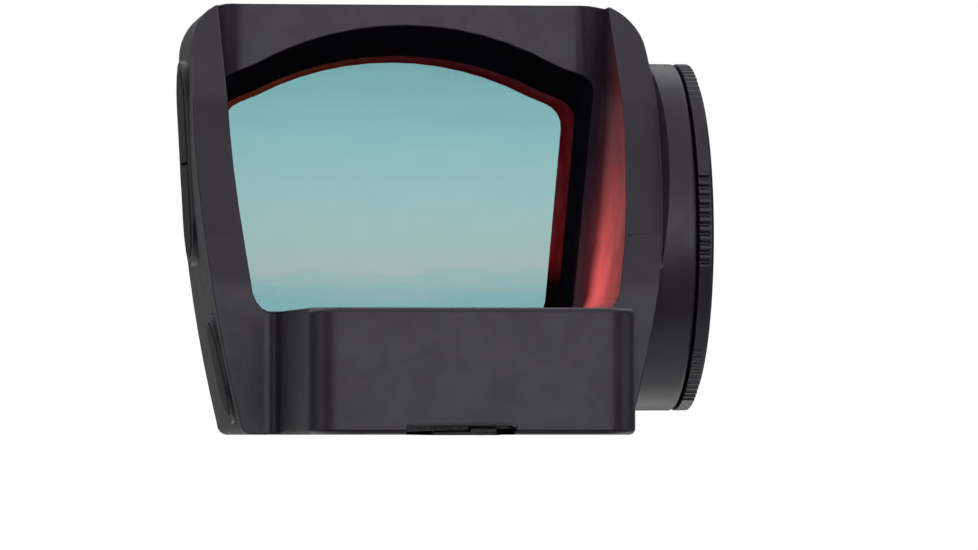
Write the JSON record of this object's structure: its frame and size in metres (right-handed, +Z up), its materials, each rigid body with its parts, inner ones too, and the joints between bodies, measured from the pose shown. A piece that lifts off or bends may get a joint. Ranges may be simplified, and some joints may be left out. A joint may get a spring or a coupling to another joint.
{
  "type": "reflex red dot sight",
  "caption": "Open reflex red dot sight: milled hood with a D-shaped lens, rear emitter block, coin cell under a knurled side cap, side push buttons and slotted adjusters.",
  "frame": {"origin": "on the underside of the base, on the hood's middle plane, 9.9 mm ahead of the hood's back face", "axes": "+X to the shooter's right, where the battery cap is; +Y forward, from the emitter block to the lens; +Z up"},
  "size_m": [0.0421, 0.058, 0.0357],
  "materials": {
    "anodised_black": "fine bead-blasted black hard anodising, satin",
    "coated_glass": "polished, with a teal reflective coating",
    "clear_glass": "polished",
    "sealant_black": "matte black optical sealant",
    "rubber_black": "matte moulded rubber",
    "screw_black": "black oxide, slightly oily",
    "steel": "bright nickel-plated steel",
    "spring_steel": "bright spring steel",
    "gold_plate": "gold flash over brass",
    "board_green": "glass-fibre board with green solder mask",
    "chip_black": "moulded black plastic",
    "flex_amber": "amber polyimide film",
    "red_lens": "clear red moulding"
  },
  "bodies": {
    "root": {"housing": "anodised_black", "keypad_bezel": "anodised_black", "power_button_bezel": "anodised_black", "rear_lens_element": "coated_glass", "front_lens_element": "coated_glass", "emitter_window": "clear_glass", "lens_seal": "sealant_black", "cover_gasket": "rubber_black", "battery_lead_negative": "rubber_black", "bottom_cover": "screw_black", "cell_can": "steel", "cell_negative_cup": "steel", "cover_screw_1": "steel", "cover_screw_2": "steel", "cover_screw_3": "steel", "cover_screw_4": "steel", "brightness_up_switch": "steel", "brightness_down_switch": "steel", "power_switch": "steel", "windage_spring": "spring_steel", "carriage_retainer": "spring_steel", "negative_contact": "gold_plate", "main_board": "board_green", "controller_chip": "chip_black", "driver_chip": "chip_black", "power_inductor": "chip_black", "battery_insulator": "chip_black", "cell_grommet": "chip_black", "keypad_board": "flex_amber", "power_board": "flex_amber", "keypad_cable": "flex_amber", "power_cable": "flex_amber", "emitter_flex": "flex_amber", "board_capacitor_1": "flex_amber", "board_capacitor_2": "flex_amber", "board_capacitor_3": "flex_amber", "battery_lead_positive": "red_lens"},
    "battery_cap_ring": {"battery_cap_o_ring": "rubber_black"},
    "battery_cap": {"battery_cap": "anodised_black", "cap_contact": "spring_steel"},
    "brightness_up_button": {"brightness_up_button": "rubber_black"},
    "brightness_down_button": {"brightness_down_button": "rubber_black"},
    "power_button": {"power_button": "rubber_black"},
    "windage_ring": {"windage_o_ring": "rubber_black"},
    "windage_screw": {"windage_screw": "screw_black"},
    "windage_carriage": {"windage_carriage": "steel", "elevation_spring": "spring_steel"},
    "elevation_ring": {"elevation_o_ring": "rubber_black"},
    "elevation_screw": {"elevation_screw": "screw_black"},
    "emitter_holder": {"emitter_holder": "gold_plate", "led_emitter": "red_lens", "emitter_aperture": "screw_black"}
  },
  "joints": [
    {"name": "battery_cap_travel", "type": "slide", "parent": "root", "child": "battery_cap_ring", "axis": [1, 0, 0], "range_m": [0, 0.0015]},
    {"name": "battery_cap_turn", "type": "hinge", "parent": "battery_cap_ring", "child": "battery_cap", "pos_m": [0.0215, 0.0047, 0.0163], "axis": [1, 0, 0], "range_deg": [0, 722]},
    {"name": "brightness_up_press", "type": "slide", "parent": "root", "child": "brightness_up_button", "axis": [0.9985, 0, 0.0548], "range_m": [0, 0.0003], "stiffness_N_per_m": 3000},
    {"name": "brightness_down_press", "type": "slide", "parent": "root", "child": "brightness_down_button", "axis": [0.9985, 0, 0.0548], "range_m": [0, 0.0003], "stiffness_N_per_m": 3000},
    {"name": "power_press", "type": "slide", "parent": "root", "child": "power_button", "axis": [0.9761, 0, 0.2173], "range_m": [0, 0.0003], "stiffness_N_per_m": 3000},
    {"name": "windage_screw_travel", "type": "slide", "parent": "root", "child": "windage_ring", "axis": [1, 0, 0], "range_m": [-0.00053, 0.00053]},
    {"name": "windage_turn", "type": "hinge", "parent": "windage_ring", "child": "windage_screw", "pos_m": [0.0115, -0.0246, 0.0058], "axis": [1, 0, 0], "range_deg": [-541.4, 541.4]},
    {"name": "windage_slide", "type": "slide", "parent": "root", "child": "windage_carriage", "axis": [1, 0, 0], "range_m": [-0.00052, 0.00052], "deforming": ["windage_spring"]},
    {"name": "elevation_screw_travel", "type": "slide", "parent": "root", "child": "elevation_ring", "axis": [0, 0, 1], "range_m": [-0.00053, 0.00053]},
    {"name": "elevation_turn", "type": "hinge", "parent": "elevation_ring", "child": "elevation_screw", "pos_m": [0, -0.0298, 0.008], "axis": [0, 0, 1], "range_deg": [-541.4, 541.4]},
    {"name": "elevation_slide", "type": "slide", "parent": "windage_carriage", "child": "emitter_holder", "axis": [0, 0, 1], "range_m": [-0.00052, 0.00052], "deforming": ["elevation_spring"]}
  ],
  "couplings": [
    {"joint": "battery_cap_turn", "follows": "battery_cap_travel", "rad_per_m": 8377.6},
    {"joint": "windage_turn", "follows": "windage_slide", "rad_per_m": 17952},
    {"joint": "windage_screw_travel", "follows": "windage_slide", "ratio": 1},
    {"joint": "elevation_turn", "follows": "elevation_slide", "rad_per_m": 17952},
    {"joint": "elevation_screw_travel", "follows": "elevation_slide", "ratio": 1}
  ]
}
